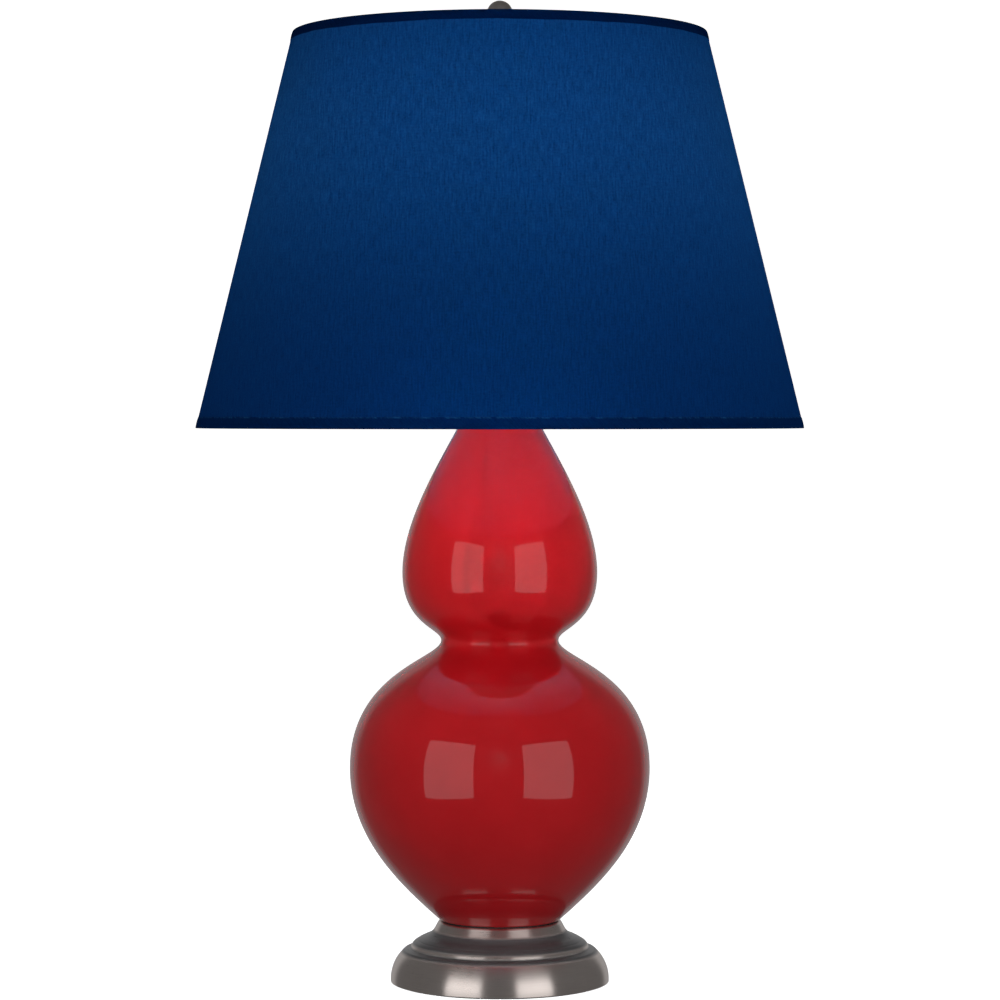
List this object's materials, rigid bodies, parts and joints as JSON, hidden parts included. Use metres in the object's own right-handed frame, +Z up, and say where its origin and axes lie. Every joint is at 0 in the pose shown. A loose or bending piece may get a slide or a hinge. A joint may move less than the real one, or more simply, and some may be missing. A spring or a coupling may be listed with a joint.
{
  "type": "table lamp",
  "caption": "Table lamp: double gourd glazed ceramic body on a turned metal base, harp, cone cloth shade with white lining and ball finial.",
  "frame": {"origin": "centre of the base's underside, on the surface that the lamp stands on", "axes": "+Z up along the lamp's axis; -Y is the front, with the switch knob; +Y is the rear, with the cord inlet; the harp stands in the XZ plane"},
  "size_m": [0.4859, 0.486, 0.7847],
  "materials": {
    "antique_silver": "antique brushed silver, satin, with a dark wash in the grooves",
    "red_glaze": "deep red high gloss glaze",
    "felt": "black wool felt",
    "fibreboard": "dark fibreboard",
    "black_rubber": "matt black rubber",
    "zinc_steel": "zinc plated steel",
    "brass": "satin brass",
    "phenolic": "black moulded phenolic",
    "sleeve_paper": "vulcanised paper sleeve",
    "frosted_glass": "white frosted glass",
    "clear_glass": "clear glass",
    "tungsten": "grey wire",
    "harp_metal": "antique nickel wire",
    "dark_bronze": "dark bronze, semi gloss",
    "white_wire": "white enamelled wire",
    "navy_cloth": "navy blue slub weave",
    "navy_trim": "navy blue folded trim of the same cloth",
    "styrene": "white styrene lining"
  },
  "bodies": {
    "lamp_body": {"felt_pad": "felt", "bottom_cover": "fibreboard", "metal_base": "antique_silver", "cord_bushing": "black_rubber", "clamp_washer": "zinc_steel", "lock_washer": "zinc_steel", "pipe_nut": "brass", "base_gasket": "black_rubber", "lamp_pipe": "zinc_steel", "gourd_body": "red_glaze", "vase_cap": "antique_silver", "neck_spacer": "antique_silver", "harp_saddle": "harp_metal", "socket_cap": "brass", "set_screw": "zinc_steel", "socket_shell": "brass", "socket_insulator": "sleeve_paper", "socket_body": "phenolic", "screw_shell": "brass", "center_contact": "brass", "terminal_screws": "brass"},
    "switch": {"switch_shaft": "brass", "switch_knob": "phenolic"},
    "bulb": {"bulb_glass": "frosted_glass", "bulb_cap": "zinc_steel", "bulb_tip": "phenolic", "bulb_stem": "clear_glass", "bulb_filament": "tungsten"},
    "harp": {"harp_frame": "harp_metal"},
    "ferrule_left": {"ferrule_left": "harp_metal"},
    "ferrule_right": {"ferrule_right": "harp_metal"},
    "stud": {"harp_stud": "harp_metal"},
    "shade": {"shade_spider": "white_wire", "shade_top_ring": "white_wire", "shade_bottom_ring": "white_wire", "shade_liner": "styrene", "shade_fabric": "navy_cloth", "shade_top_trim": "navy_trim", "shade_bottom_trim": "navy_trim"},
    "finial": {"finial": "dark_bronze"}
  },
  "joints": [
    {"name": "switch_turn", "type": "hinge", "parent": "lamp_body", "child": "switch", "pos_m": [0, -0.0174, 0.5228], "axis": [0, -1, 0], "continuous": true},
    {"name": "bulb_lift", "type": "slide", "parent": "lamp_body", "child": "bulb", "axis": [0, 0, 1], "range_m": [0, 0.03]},
    {"name": "harp_lift", "type": "slide", "parent": "lamp_body", "child": "harp", "axis": [0, 0, 1], "range_m": [0, 0.02]},
    {"name": "ferrule_left_slide", "type": "slide", "parent": "harp", "child": "ferrule_left", "axis": [0, 0, 1], "range_m": [0, 0.0125]},
    {"name": "ferrule_right_slide", "type": "slide", "parent": "harp", "child": "ferrule_right", "axis": [0, 0, 1], "range_m": [0, 0.0125]},
    {"name": "shade_turn", "type": "hinge", "parent": "harp", "child": "stud", "pos_m": [0, 0, 0.748], "axis": [0, 0, 1], "continuous": true},
    {"name": "shade_lift", "type": "slide", "parent": "stud", "child": "shade", "axis": [0, 0, 1], "range_m": [0, 0.32]},
    {"name": "finial_lift", "type": "slide", "parent": "shade", "child": "finial", "axis": [0, 0, 1], "range_m": [0, 0.03]}
  ]
}
